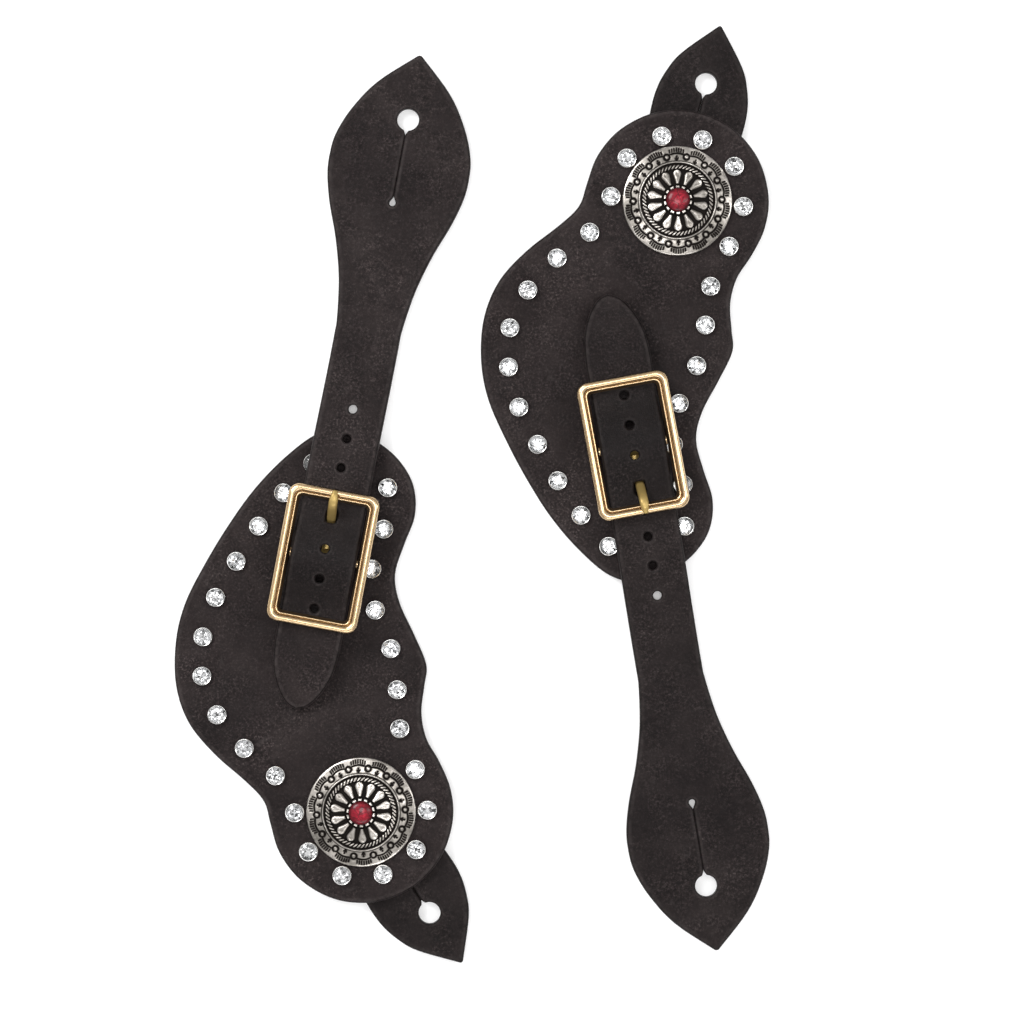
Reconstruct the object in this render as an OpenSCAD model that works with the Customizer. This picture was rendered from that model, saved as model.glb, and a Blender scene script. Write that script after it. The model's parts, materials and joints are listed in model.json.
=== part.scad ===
// Pair of western spur straps: two mirrored leather straps, each with a studded crescent panel,
// a centre-bar buckle with a tongue, a billet that ends in a keyhole leaf, and a keyhole tab
// that swivels behind a round concho. The pair lies face up on the plane z = 0.
// Each strap is drawn in its own frame: origin on the floor below the middle of the buckle,
// +Y towards the leaf, +X towards the concho side. left() and right() put it in place.

/* [Panel] */
// Thickness of the panel leather
panel_t = 3.2; // [2.6:0.1:3.2]
// Radius of the round end of the panel, about the concho screw
panel_end_r = 26.6; // [25:0.1:28]

/* [Billet] */
// Width of the billet strap
billet_w = 19.1; // [17:0.1:19.2]
// Thickness of the billet leather
billet_t = 3.0; // [2.4:0.1:3]
// Radius of the adjusting holes
adjust_hole_r = 1.3; // [1:0.1:1.6]

/* [Keyholes] */
// Radius of the round end of a keyhole, which takes the spur's button
button_hole_r = 3.2; // [2.8:0.1:3.6]
// Width of the slit that lets the button's head through
slit_w = 0.8; // [0.5:0.1:1.2]
// Radius of the small relief hole at the far end of a slit
relief_hole_r = 1.0; // [0.6:0.1:1.3]

/* [Button tab] */
// Thickness of the tab leather
tab_t = 3.0; // [2.4:0.1:3]
// Widest half-width of the tab
tab_half_w = 13.8; // [11:0.1:14.5]
// Distance from the concho screw to the tab's keyhole
tab_hole_at = 35.7; // [33:0.1:37]
// Distance from the concho screw to the tab's tip
tab_len = 53.3; // [50:0.1:55]

/* [Buckle] */
// Outer width of the buckle frame
frame_w = 26.5; // [26.3:0.1:28]
// Outer length of the buckle frame
frame_l = 40.2; // [39:0.1:42]
// Width of the frame's sides and ends, seen from above
frame_bar = 3.3; // [2.8:0.1:3.3]
// Height of the frame's sides and ends
frame_h = 3.6; // [3:0.1:3.6]
// Outer corner radius of the frame
frame_corner_r = 3.2; // [2.6:0.1:4]
// Radius of the centre bar
bar_r = 1.5; // [1.2:0.1:1.5]
// Width of the tongue
tongue_w = 2.6; // [2:0.1:2.8]
// Thickness of the tongue
tongue_t = 2.2; // [1.8:0.1:2.2]

/* [Chape] */
// Thickness of each ply of the folded chape
chape_ply = 1.55; // [1.2:0.05:1.55]
// Width of the chape
chape_w = 17.5; // [16:0.1:17.5]
// Distance from the centre bar to the chape's free end
chape_len = 33; // [31:0.5:33]

/* [Concho] */
// Diameter of the concho
concho_d = 31.75; // [30:0.25:33]
// Radius of the red stone
stone_r = 3.5; // [3:0.1:3.8]

/* [Studs] */
// Number of crystal studs on each panel
stud_count = 24; // [20:1:25]
// Diameter of a stud's cup
stud_d = 5.8; // [5:0.1:6]

/* [Layout] */
// Angle of the left button tab, from the strap's own +X
left_tab_angle = -46; // [-60:1:-40]
// Angle of the right button tab, from the strap's own +X
right_tab_angle = -68.5; // [-80:0.5:-60]

/* [Hidden] */

$fn = 64;

// The two straps, indexed 0 for the left and 1 for the right one.
LEFT = 0;
RIGHT = 1;
strap_at = [[-42.66, -18.5], [44.64, 12.1]];
strap_turn = [-10.7, 7.5];
// The buckle sits a little differently on each strap, and the billet leans in it.
buckle_at = [[0, 0], [2.0, -1.6]];
buckle_lean = [0, -3];
billet_lean = [0, -2.1];
tab_angle = [left_tab_angle, right_tab_angle];

leather = [0.10, 0.085, 0.08];
brass = [0.72, 0.58, 0.36];
silver = [0.62, 0.60, 0.57];
steel = [0.70, 0.70, 0.70];
crystal = [0.92, 0.95, 0.97];
ruby = [0.62, 0.05, 0.09];

touch = 0.05;       // gap between pieces that lie on each other
slack = 0.1;        // radial gap of a pivot
tall = 40;          // taller than anything here, for vertical cuts
step = 1.5;         // spacing of the points along a bent strap

concho_at = [24.1, -70.1];

// The panel rises over the button tab at the concho end and lies on the floor at the buckle end.
ramp_low = -57;
ramp_high = -35;
tab_gap = 0.1;
panel_lift = tab_t + tab_gap;

// Heights in the buckle, from the floor up.
bar_z = 6.7;
loop_in_r = bar_r + slack;
loop_out_r = loop_in_r + chape_ply;
chape_top = panel_t + 2 * (chape_ply + touch);
billet_low_z = chape_top + billet_t / 2 + touch;
billet_high_z = bar_z + loop_out_r + billet_t / 2 + touch;
frame_z = billet_low_z + billet_t / 2 + 3 * touch;
hump_half_l = 15.5;
frame_half_l = frame_l / 2;
floor_from_y = 62;

// The billet, along its length.
tip_y = -44.5;
tip_z = 6.45;
chape_step_y = -35.5;
flex_y = 68;
leaf_tip_y = 149;
leaf_hole_y = 129.6;
leaf_relief_y = 105;
flex_gap = 0.3;

// The tongue leaves its loop under the billet, climbs through a hole and rests on the frame's end.
tongue_loop_r = 2.8;
tongue_low_z = 5.9;
tongue_climb_from = 8.5;
tongue_climb_to = 17;
tongue_tip_y = 19.6;
tongue_rest_z = frame_z + frame_h + tongue_t / 2 + touch;
tongue_hole_from = 7.9;
tongue_hole_to = 14.9;
tongue_hole_w = tongue_w + 0.7;

rivet_y = [-10.4, -27];
rivet_r = 1.5;
rivet_cap_r = 3.2;
rivet_cap_h = 0.7;
rivet_base_r = 3.4;
rivet_base_h = 0.7;

screw_r = 1.5;
screw_head_r = 4.5;
screw_head_h = 1.0;
screw_socket_h = 2.4;

// Studs: a cup with a post, a crystal in the cup, and a cap on the post behind the leather.
stud_r = stud_d / 2;
post_r = 1.0;
rim_h = 1.1;
crystal_r = 2.5;
crystal_seat_r = 1.2;
crystal_table_r = 1.4;
crystal_seat_h = 0.3;
crystal_top_h = 1.7;
back_r = 2.2;
back_h = 0.75;
post_into_back = 0.6;

// ---------------------------------------------------------------- curves

// 3u^2 - 2u^3, held at 0 and 1 outside the unit interval.
function smooth(u) = let (v = min(max(u, 0), 1)) v * v * (3 - 2 * v);

// Height at y on a line that eases from one [y, z] knot to the next.
function eased(knots, y, i = 0) =
    y <= knots[0][0] ? knots[0][1] :
    i == len(knots) - 2 || y < knots[i + 1][0] ?
        knots[i][1] + (knots[i + 1][1] - knots[i][1])
            * smooth((y - knots[i][0]) / (knots[i + 1][0] - knots[i][0])) :
        eased(knots, y, i + 1);

// Points along an eased line, one every step or less.
function eased_path(knots, from, to, spacing = step) =
    let (n = ceil((to - from) / spacing))
    [for (i = [0:n]) let (y = from + (to - from) * i / n) [y, eased(knots, y)]];

// Catmull-Rom curve: the point at u between b and c.
function catmull(a, b, c, d, u) =
    0.5 * (2 * b + (c - a) * u + (2 * a - 5 * b + 4 * c - d) * pow(u, 2)
        + (3 * b - a - 3 * c + d) * pow(u, 3));

// Smooth closed curve through the points, n pieces to each span.
function closed_curve(p, n) =
    let (k = len(p))
    [for (i = [0:k - 1], j = [0:n - 1])
        catmull(p[(i + k - 1) % k], p[i], p[(i + 1) % k], p[(i + 2) % k], j / n)];

// Smooth open curve through the points, its ends included.
function open_curve(p, n) =
    let (k = len(p), q = concat([2 * p[0] - p[1]], p, [2 * p[k - 1] - p[k - 2]]))
    concat([for (i = [0:k - 2], j = [0:n - 1])
        catmull(q[i], q[i + 1], q[i + 2], q[i + 3], j / n)], [p[k - 1]]);

// Unit normal of a path at point i, on its left.
function normal_at(p, i) =
    let (a = p[max(i - 1, 0)], b = p[min(i + 1, len(p) - 1)], d = b - a)
    [-d[1], d[0]] / norm(d);

// Outline of a band of the given thickness along a path.
function band(p, t) = concat(
    [for (i = [0:len(p) - 1]) p[i] - normal_at(p, i) * t / 2],
    [for (i = [len(p) - 1:-1:0]) p[i] + normal_at(p, i) * t / 2]);

// Length of a path up to each of its points.
function lengths(p, i = 0, sum = 0) =
    i >= len(p) ? [] :
    let (s = i == 0 ? 0 : sum + norm(p[i] - p[i - 1]))
    concat([s], lengths(p, i + 1, s));

// The point at length s along a path.
function along(p, l, s, i = 0) =
    i >= len(p) - 2 || s < l[i + 1] ?
        p[i] + (p[i + 1] - p[i]) * (s - l[i]) / (l[i + 1] - l[i]) :
        along(p, l, s, i + 1);

// A point on a circle about the concho screw.
function about_concho(r, angle) = concho_at + r * [cos(angle), sin(angle)];

// Leaf outline from a list of [length, half-width], mirrored about its long axis.
function both_sides(half) = concat(
    [for (p = half) [p[1], p[0]]],
    [for (i = [len(half) - 2:-1:1]) [-half[i][1], half[i][0]]]);

// ---------------------------------------------------------------- outlines

// Panel, from the top under the billet, down the long side, round the concho and back up.
panel_outline = closed_curve([
    [0, 38], [-9, 35], [-17, 26.5], [-24, 15.8], [-29.5, 4], [-34, -8], [-37.6, -20.5],
    [-38.2, -32], [-35.8, -44], [-30, -54], [-21, -61.6], [-10.5, -67.8], [-4.2, -72.5],
    about_concho(panel_end_r, 199), about_concho(panel_end_r, 218),
    about_concho(panel_end_r, 240), about_concho(panel_end_r, 265),
    about_concho(panel_end_r, 290), about_concho(panel_end_r, 315),
    about_concho(panel_end_r, 340), about_concho(panel_end_r, 364),
    [48.4, -59.3], [43.7, -52], [38.6, -46], [35.8, -39], [35.2, -31], [34.6, -25],
    [29.4, -17], [23.6, -8.8], [20.8, -1], [21.8, 8], [23.3, 17], [21.2, 25.5],
    [15.6, 32], [8, 36.2]
], 5);

// Line of the stud centres, from the billet's long side round the concho to the top.
stud_line = open_curve([
    [-8.5, 26.3], [-15, 16.8], [-20.5, 5.8], [-29, -17], [-30.5, -29], [-28.7, -40.7],
    [-22.6, -50.4], [-12.9, -58], [-2.9, -63.7], [4.9, -73.3], [10.8, -83.8],
    [21.1, -89.1], [33, -87], [41.6, -78.1], [43, -66.7], [37.5, -55.9],
    [30.6, -45.6], [27.6, -33.4], [23.4, -21.8], [16.8, -11.5], [13.9, -0.6],
    [15.2, 11.9], [14.1, 23.4]
], 6);
stud_line_l = lengths(stud_line);
stud_pitch = stud_line_l[len(stud_line_l) - 1] / (stud_count - 1);
stud_centres = [for (i = [0:stud_count - 1])
    along(stud_line, stud_line_l, min(i * stud_pitch, stud_line_l[len(stud_line_l) - 1] - 0.001))];

// Half outlines as [length, half-width]: the tips are the first and last points.
half_w = billet_w / 2;
billet_half = concat(
    open_curve([[tip_y, 0], [tip_y + 1.5, 3.2], [-39, 6.3], [-33, 8.7], [-26, half_w]], 5),
    [[flex_y, half_w]]);
leaf_half = open_curve([
    [flex_y, half_w], [flex_y + 6, half_w + 0.7], [82, 11.6], [92, 14.4], [102, 18.1],
    [110, 20.2], [116, 20.6], [122, 19.9], [130, 16.7], [139, 10.7], [leaf_tip_y, 0]
], 5);
tab_end_r = 10;
tab_half = concat(
    [for (a = [90:-15:0]) [-tab_end_r * sin(a), tab_end_r * cos(a)]],
    open_curve([
        [5, 10.9], [14, 12.9], [24, tab_half_w], [31, tab_half_w - 0.2], [37, 12],
        [43, 8.9], [tab_len, 0]
    ], 5));

adjust_holes = [43.9, 35.1, 26.5, 18.8, 2.8, -6, -14.8];

// ---------------------------------------------------------------- bent shapes

panel_knots = [[ramp_low, panel_lift], [ramp_high, 0]];
function lift(y) = eased(panel_knots, y);
// Slope of the panel at y, in degrees.
function tilt(y) = atan((lift(y + 0.1) - lift(y - 0.1)) / 0.2);

billet_knots = [
    [tip_y, tip_z], [chape_step_y, billet_low_z], [-hump_half_l, billet_low_z],
    [0, billet_high_z], [hump_half_l, billet_low_z], [frame_half_l + 0.4, billet_low_z],
    [floor_from_y, billet_t / 2]
];

// Extrudes a [y, z] profile along X, centred.
module across(width) {
    translate([-width / 2, 0, 0]) rotate([90, 0, 90]) linear_extrude(width) children();
}

module place(s) {
    translate(strap_at[s]) rotate([0, 0, strap_turn[s]])
        mirror([0, s == RIGHT ? 1 : 0, 0]) children();
}

module at_buckle(s, lean) {
    translate(buckle_at[s]) rotate([0, 0, lean[s]]) children();
}

module at_concho() {
    translate(concho_at) children();
}

// Children on the panel's top face at every stud, square to the leather.
module at_studs() {
    for (p = stud_centres)
        translate([p[0], p[1], lift(p[1])]) rotate([tilt(p[1]), 0, 0])
            translate([0, 0, panel_t]) children();
}

// Round hole, slit and relief hole, cut straight down. The slit runs along +Y to the hole.
module keyhole(relief_y, hole_y) {
    translate([0, hole_y, -1]) cylinder(r = button_hole_r, h = tall);
    translate([0, relief_y, -1]) cylinder(r = relief_hole_r, h = tall);
    translate([-slit_w / 2, relief_y, -1]) cube([slit_w, hole_y - relief_y, tall]);
}

// Oblong hole with round ends, its length along Y.
module oblong_hole(from, to, w) {
    r = w / 2;
    for (y = [from + r, to - r]) translate([0, y, -1]) cylinder(r = r, h = tall);
    translate([-r, from + r, -1]) cube([w, to - from - w, tall]);
}

// ---------------------------------------------------------------- leather

module panel(s) {
    line = concat([[-110, panel_lift]], eased_path(panel_knots, ramp_low, ramp_high), [[60, 0]]);
    color(leather) difference() {
        intersection() {
            linear_extrude(tall) polygon(panel_outline);
            across(220) polygon(concat(line,
                [for (i = [len(line) - 1:-1:0]) line[i] + [0, panel_t]]));
        }
        at_studs() translate([0, 0, -panel_t]) {
            translate([0, 0, -1]) cylinder(r = back_r + touch, h = 1 + back_h + touch);
            cylinder(r = post_r + touch, h = panel_t + 1);
        }
        at_buckle(s, buckle_lean) for (y = rivet_y) translate([0, y, 0]) {
            translate([0, 0, -1]) cylinder(r = rivet_base_r + touch, h = 1 + rivet_base_h + touch);
            cylinder(r = rivet_r + touch, h = tall);
        }
        at_concho() cylinder(r = screw_r + touch, h = tall);
    }
}

module button_tab(s) {
    color(leather) at_concho() rotate([0, 0, tab_angle[s] - 90]) difference() {
        linear_extrude(tab_t) polygon(both_sides(tab_half));
        keyhole(tab_hole_at / 2, tab_hole_at);
        translate([0, 0, -1]) cylinder(r = screw_r + slack, h = tall);
        translate([0, 0, -1]) cylinder(r = screw_head_r + slack, h = 1 + screw_head_h + 3 * touch);
    }
}

// The strap from its tip, over the centre bar, under both frame ends and down to the floor.
module billet(s) {
    color(leather) at_buckle(s, billet_lean) difference() {
        intersection() {
            linear_extrude(tall) polygon(both_sides(concat(billet_half, [[flex_y, 0]])));
            across(60) polygon(band(eased_path(billet_knots, tip_y - 1, flex_y, step), billet_t));
        }
        for (y = adjust_holes) translate([0, y, -1]) cylinder(r = adjust_hole_r, h = tall);
        oblong_hole(tongue_hole_from, tongue_hole_to, tongue_hole_w);
        translate([-20, flex_y, billet_t / 2]) rotate([0, 90, 0])
            cylinder(r = billet_t / 2 + flex_gap, h = 40);
    }
}

// The wide end of the same strap. Its rounded root turns in the billet's hollow end.
module billet_leaf(s) {
    color(leather) at_buckle(s, billet_lean) difference() {
        union() {
            linear_extrude(billet_t) polygon(both_sides(concat([[flex_y, 0]], leaf_half)));
            translate([-half_w, flex_y, billet_t / 2]) rotate([0, 90, 0])
                cylinder(d = billet_t, h = billet_w);
        }
        keyhole(leaf_relief_y, leaf_hole_y);
    }
}

// Strip folded round the centre bar, with a slot for the tongue.
module chape(s) {
    low_ply_z = panel_t + touch + chape_ply / 2;
    high_ply_z = chape_top - chape_ply / 2;
    low_ply = [[-9, low_ply_z], [0, bar_z - loop_in_r - chape_ply / 2]];
    high_ply = [[-9, high_ply_z], [0, bar_z + loop_in_r + chape_ply / 2]];
    color(leather) at_buckle(s, buckle_lean) difference() {
        across(chape_w) {
            difference() {
                translate([0, bar_z]) circle(r = loop_out_r);
                translate([0, bar_z]) circle(r = loop_in_r);
                translate([-20, 0]) square([20, tall]);
            }
            polygon(band(eased_path(low_ply, -chape_len, 0, step), chape_ply));
            polygon(band(eased_path(high_ply, -chape_len, 0, step), chape_ply));
        }
        translate([-tongue_w / 2 - 0.5, -4.5, 0]) cube([tongue_w + 1, 10, tall]);
        for (y = rivet_y) translate([0, y, 0]) {
            cylinder(r = rivet_r + touch, h = tall);
            translate([0, 0, chape_top - rivet_cap_h - touch])
                cylinder(r = rivet_cap_r + touch, h = tall);
        }
    }
}

// ---------------------------------------------------------------- buckle

module rounded_rect(w, l, r) {
    square([w - 2 * r, l], center = true);
    square([w, l - 2 * r], center = true);
    for (x = [-1, 1], y = [-1, 1]) translate([x * (w / 2 - r), y * (l / 2 - r)]) circle(r = r);
}

module buckle_frame(s) {
    lug_w = 4;
    lug_in_frame = 1;
    lug_h = frame_z + lug_in_frame - (bar_z - bar_r);
    inner_w = frame_w - 2 * frame_bar;
    inner_corner_r = 1.2;
    color(brass) at_buckle(s, buckle_lean) {
        translate([0, 0, frame_z]) linear_extrude(frame_h) difference() {
            rounded_rect(frame_w, frame_l, frame_corner_r);
            rounded_rect(inner_w, frame_l - 2 * frame_bar, inner_corner_r);
        }
        for (x = [-1, 1])
            translate([x * (inner_w + frame_bar) / 2, 0, bar_z - bar_r + lug_h / 2])
                cube([frame_bar, lug_w, lug_h], center = true);
        translate([-inner_w / 2 - 1, 0, bar_z]) rotate([0, 90, 0])
            cylinder(r = bar_r, h = inner_w + 2);
    }
}

module buckle_tongue(s) {
    climb = [[tongue_climb_from, tongue_low_z], [tongue_climb_to, tongue_rest_z]];
    color(brass) at_buckle(s, buckle_lean) across(tongue_w) difference() {
        union() {
            translate([0, bar_z]) circle(r = tongue_loop_r);
            polygon(band(eased_path(climb, 1.2, tongue_tip_y, 0.5), tongue_t));
        }
        translate([0, bar_z]) circle(r = bar_r + slack);
    }
}

module chape_rivets(s) {
    color(steel) at_buckle(s, buckle_lean) for (y = rivet_y) translate([0, y, 0]) {
        translate([0, 0, rivet_base_h / 2])
            cylinder(r = rivet_r, h = chape_top - rivet_cap_h / 2 - rivet_base_h / 2);
        translate([0, 0, chape_top - rivet_cap_h]) cylinder(r = rivet_cap_r, h = rivet_cap_h);
    }
}

module rivet_bases(s) {
    color(steel) at_buckle(s, buckle_lean) for (y = rivet_y) translate([0, y, touch]) difference() {
        cylinder(r = rivet_base_r, h = rivet_base_h);
        translate([0, 0, rivet_base_h / 2 - touch]) cylinder(r = rivet_r + touch, h = tall);
    }
}

// ---------------------------------------------------------------- concho

concho_z = panel_lift + panel_t;
concho_r = concho_d / 2;

// Pressed dome with a hollow back, a threaded socket and a bezel for the stone.
module concho() {
    wall = 1.0;
    ring_r = 11.1;
    bezel_r = stone_r + 0.65;
    boss_r = 4.1;
    color(silver) at_concho() translate([0, 0, concho_z]) rotate_extrude() polygon([
        [screw_r + touch, 0], [boss_r, 0], [boss_r, 1.9], [ring_r - 0.6, 1.2],
        [concho_r - 1.9, 0.45], [concho_r - 1.6, 0], [concho_r - 0.3, 0], [concho_r, 0.3],
        [concho_r, 0.9], [concho_r - 0.4, 0.45 + wall], [ring_r + 0.5, 1.2 + wall],
        [ring_r, 1.5 + wall], [ring_r - 0.5, 1.3 + wall], [5.2, 2.1 + wall],
        [bezel_r, 2.1 + wall], [bezel_r, 2.9 + wall], [stone_r + touch, 2.9 + wall],
        [stone_r + touch, 1.9 + wall], [0, 1.9 + wall], [0, screw_socket_h],
        [screw_r + touch, screw_socket_h]
    ]);
}

module concho_stone() {
    seat = 2.9;
    girdle_h = 0.8;
    dome_h = 1.3;
    // Sphere whose cap of height dome_h has the stone's radius.
    dome_r = (stone_r * stone_r + dome_h * dome_h) / (2 * dome_h);
    color(ruby) at_concho() translate([0, 0, concho_z + seat + touch]) {
        cylinder(r = stone_r, h = girdle_h);
        translate([0, 0, girdle_h]) rotate_extrude() intersection() {
            translate([0, dome_h - dome_r]) circle(r = dome_r);
            square([stone_r, dome_h]);
        }
    }
}

module concho_screw() {
    slot_w = 1.0;
    slot_d = 0.5;
    color(steel) at_concho() difference() {
        union() {
            translate([0, 0, touch]) cylinder(r = screw_head_r, h = screw_head_h);
            translate([0, 0, screw_head_h / 2])
                cylinder(r = screw_r, h = concho_z + screw_socket_h - screw_head_h / 2 - touch);
        }
        translate([-screw_head_r - 1, -slot_w / 2, -1])
            cube([2 * screw_head_r + 2, slot_w, 1 + touch + slot_d]);
    }
}

// ---------------------------------------------------------------- studs

module stud_cups() {
    post_low = back_h - post_into_back - panel_t;
    color(silver) at_studs() rotate_extrude() polygon([
        [0, post_low], [post_r, post_low], [post_r, 0], [stud_r, 0], [stud_r, rim_h * 0.6],
        [stud_r - 0.3, rim_h], [crystal_r, rim_h], [crystal_seat_r, crystal_seat_h],
        [0, crystal_seat_h]
    ]);
}

module stud_crystals() {
    color(crystal) at_studs() rotate_extrude() polygon([
        [0, crystal_seat_h], [crystal_seat_r, crystal_seat_h], [crystal_r, rim_h],
        [crystal_table_r, crystal_top_h], [0, crystal_top_h]
    ]);
}

module stud_backs() {
    color(steel) at_studs() translate([0, 0, touch - panel_t]) rotate_extrude() polygon([
        [0, 0], [back_r, 0], [back_r, back_h], [post_r, back_h],
        [post_r, back_h - post_into_back - touch], [0, back_h - post_into_back - touch]
    ]);
}

// ---------------------------------------------------------------- the pair

place(LEFT) panel(LEFT);  // left_panel
place(LEFT) button_tab(LEFT);  // left_button_tab
place(LEFT) billet(LEFT);  // left_billet
place(LEFT) billet_leaf(LEFT);  // left_billet_leaf
place(LEFT) chape(LEFT);  // left_chape
place(LEFT) chape_rivets(LEFT);  // left_chape_rivets
place(LEFT) rivet_bases(LEFT);  // left_rivet_bases
place(LEFT) buckle_frame(LEFT);  // left_buckle_frame
place(LEFT) buckle_tongue(LEFT);  // left_buckle_tongue
place(LEFT) concho();  // left_concho
place(LEFT) concho_stone();  // left_concho_stone
place(LEFT) concho_screw();  // left_concho_screw
place(LEFT) stud_cups();  // left_stud_cups
place(LEFT) stud_crystals();  // left_stud_crystals
place(LEFT) stud_backs();  // left_stud_backs

place(RIGHT) panel(RIGHT);  // right_panel
place(RIGHT) button_tab(RIGHT);  // right_button_tab
place(RIGHT) billet(RIGHT);  // right_billet
place(RIGHT) billet_leaf(RIGHT);  // right_billet_leaf
place(RIGHT) chape(RIGHT);  // right_chape
place(RIGHT) chape_rivets(RIGHT);  // right_chape_rivets
place(RIGHT) rivet_bases(RIGHT);  // right_rivet_bases
place(RIGHT) buckle_frame(RIGHT);  // right_buckle_frame
place(RIGHT) buckle_tongue(RIGHT);  // right_buckle_tongue
place(RIGHT) concho();  // right_concho
place(RIGHT) concho_stone();  // right_concho_stone
place(RIGHT) concho_screw();  // right_concho_screw
place(RIGHT) stud_cups();  // right_stud_cups
place(RIGHT) stud_crystals();  // right_stud_crystals
place(RIGHT) stud_backs();  // right_stud_backs
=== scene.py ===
"""Looks of a mirrored pair of western spur straps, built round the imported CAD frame.

Leather pieces are re-surfaced from their CAD solids, with rolled edges, a pebbled grain and a
rough flesh side. Metal and stone pieces are swept, lathed or sculpted in mesh code. Objects
are in metres, and shapes are drawn in millimetres until place_points() puts them in place.
"""

import json
import math
import random

import bmesh
import bpy
import numpy as np
from mathutils import Matrix, Vector, noise
from mathutils.kdtree import KDTree


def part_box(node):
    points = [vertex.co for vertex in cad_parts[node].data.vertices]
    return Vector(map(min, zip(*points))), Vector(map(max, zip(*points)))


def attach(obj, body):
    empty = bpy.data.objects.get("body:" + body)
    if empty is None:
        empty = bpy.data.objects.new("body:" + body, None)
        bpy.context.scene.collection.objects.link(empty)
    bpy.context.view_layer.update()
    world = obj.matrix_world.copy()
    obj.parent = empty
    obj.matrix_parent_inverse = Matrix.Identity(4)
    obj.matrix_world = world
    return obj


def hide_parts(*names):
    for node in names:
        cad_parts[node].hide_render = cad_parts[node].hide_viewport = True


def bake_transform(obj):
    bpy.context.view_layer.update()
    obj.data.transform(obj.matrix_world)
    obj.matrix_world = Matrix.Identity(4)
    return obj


MM = 0.001
SIDES = ("left", "right")
UP = Vector((0, 0, 1))

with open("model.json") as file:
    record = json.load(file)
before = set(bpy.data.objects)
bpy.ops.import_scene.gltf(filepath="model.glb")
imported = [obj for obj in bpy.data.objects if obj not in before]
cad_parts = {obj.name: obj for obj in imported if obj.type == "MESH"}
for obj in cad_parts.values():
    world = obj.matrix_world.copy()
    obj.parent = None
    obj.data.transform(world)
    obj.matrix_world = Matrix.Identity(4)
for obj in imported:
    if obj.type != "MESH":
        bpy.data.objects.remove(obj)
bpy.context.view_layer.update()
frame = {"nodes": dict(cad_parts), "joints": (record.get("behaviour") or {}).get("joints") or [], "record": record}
joints = {j["name"]: j for j in frame["joints"]}
random.seed(7)


# ---- sizes, in millimetres

PANEL_T = 3.2
BILLET_W, BILLET_T = 19.1, 3.0
STUD_R, RIM_H = 2.9, 1.1  # of the stud's cup
GIRDLE_R, SEAT_H = 2.44, 0.3  # of the crystal: its widest ring, and its foot above the leather
RIVET_SHANK_R, RIVET_CAP_R = 1.5, 3.2
CONCHO_R, STONE_R = 15.875, 3.5
FRAME_W, FRAME_L, FRAME_BAR, FRAME_H = 26.5, 40.2, 3.3, 3.6
BAR_R = 1.5
# ends of the slits, from the leaf's hinge and from the tab's swivel
LEAF_SLIT = (37.0, 58.4)
TAB_SLIT = (17.9, 32.5)

# what differs from one strap to the other
# the left billet is painted lighter than the right one: painted light, as if falling from the upper left
BILLET_TONE_AND_LIGHT = {"left": 0.84, "right": 0.66}
TURN_OF_CONCHO = {"left": 0.06, "right": 0.02}  # radians
SEEDS = {"left": 1, "right": 5}


# ---- places taken from the frame


def flat_frame(y, origin):
    """Matrix at the origin with its Y along a level direction and its Z up."""
    m = Matrix((y.cross(UP), y, UP)).transposed().to_4x4()
    m.translation = Vector(origin)
    return m


def hinge_frame(name):
    """Matrix of a hinge that lies flat: X along its axis, Y towards the leaf, Z up."""
    joint = joints[name]
    return flat_frame(UP.cross(Vector(joint["axis"])).normalized(), joint["pos_m"])


def tab_frame(side):
    """Matrix of the tab: origin on its swivel, Y towards its keyhole, Z up."""
    mount = next(m for m in frame["record"]["mounts"] if m["name"] == f"{side}_tab_keyhole")
    start = Vector(joints[f"{side}_tab_swivel"]["pos_m"])
    y = Vector(mount["pos_m"]) - start
    return flat_frame(Vector((y.x, y.y, 0)).normalized(), start)


def node_arrays(name):
    """Vertices and faces of a CAD node, with the vertices that the file split merged again."""
    b = bmesh.new()
    b.from_mesh(frame["nodes"][name].data)
    bmesh.ops.remove_doubles(b, verts=b.verts, dist=1e-7)
    b.verts.index_update()
    points = np.array([v.co for v in b.verts])
    faces = [[v.index for v in f.verts] for f in b.faces]
    b.free()
    return points, faces


def islands(count, pairs):
    """Label of the connected group of each of count points, joined by pairs."""
    parent = list(range(count))

    def root(i):
        while parent[i] != i:
            parent[i] = parent[parent[i]]
            i = parent[i]
        return i

    for a, b in pairs:
        ra, rb = root(a), root(b)
        if ra != rb:
            parent[ra] = rb
    return np.array([root(i) for i in range(count)])


def solids_of(name):
    """Points of each separate solid of a CAD node."""
    points, faces = node_arrays(name)
    label = islands(len(points), [(f[0], i) for f in faces for i in f[1:]])
    return [points[label == value] for value in sorted(set(label.tolist()))]


def foot_of(low, high):
    """Matrix at the middle of the bottom of a box."""
    return Matrix.Translation(((low[0] + high[0]) / 2, (low[1] + high[1]) / 2, low[2]))


def stud_places(side):
    """Matrix of each stud: Z square to the leather, origin on the leather's top face."""
    places = []
    for group in solids_of(f"{side}_stud_crystals"):
        centre = (group.max(0) + group.min(0)) / 2
        axis = np.linalg.eigh(np.cov((group - group.mean(0)).T))[1][:, 0]
        axis = Vector(axis if axis[2] > 0 else -axis)
        along = (group - centre) @ np.array(axis)
        turn = axis.to_track_quat("Z", "Y").to_matrix().to_4x4()
        spin = Matrix.Rotation(random.uniform(0, math.tau), 4, "Z")
        foot = Vector(centre) + axis * (float(along.min()) - SEAT_H * MM)
        places.append(Matrix.Translation(foot) @ turn @ spin)
    return places


# ---- mesh tools


def new_object(name, points, faces, smooth=True):
    """Object from points in metres, at the origin."""
    mesh = bpy.data.meshes.new(name)
    mesh.from_pydata([tuple(p) for p in points], [], [tuple(f) for f in faces])
    mesh.validate()
    mesh.polygons.foreach_set("use_smooth", [smooth] * len(mesh.polygons))
    mesh.update()
    obj = bpy.data.objects.new(name, mesh)
    bpy.context.scene.collection.objects.link(obj)
    return obj


def moved(points, matrix):
    """Points carried by a matrix."""
    m = np.array(matrix)
    return points @ m[:3, :3].T + m[:3, 3]


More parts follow.
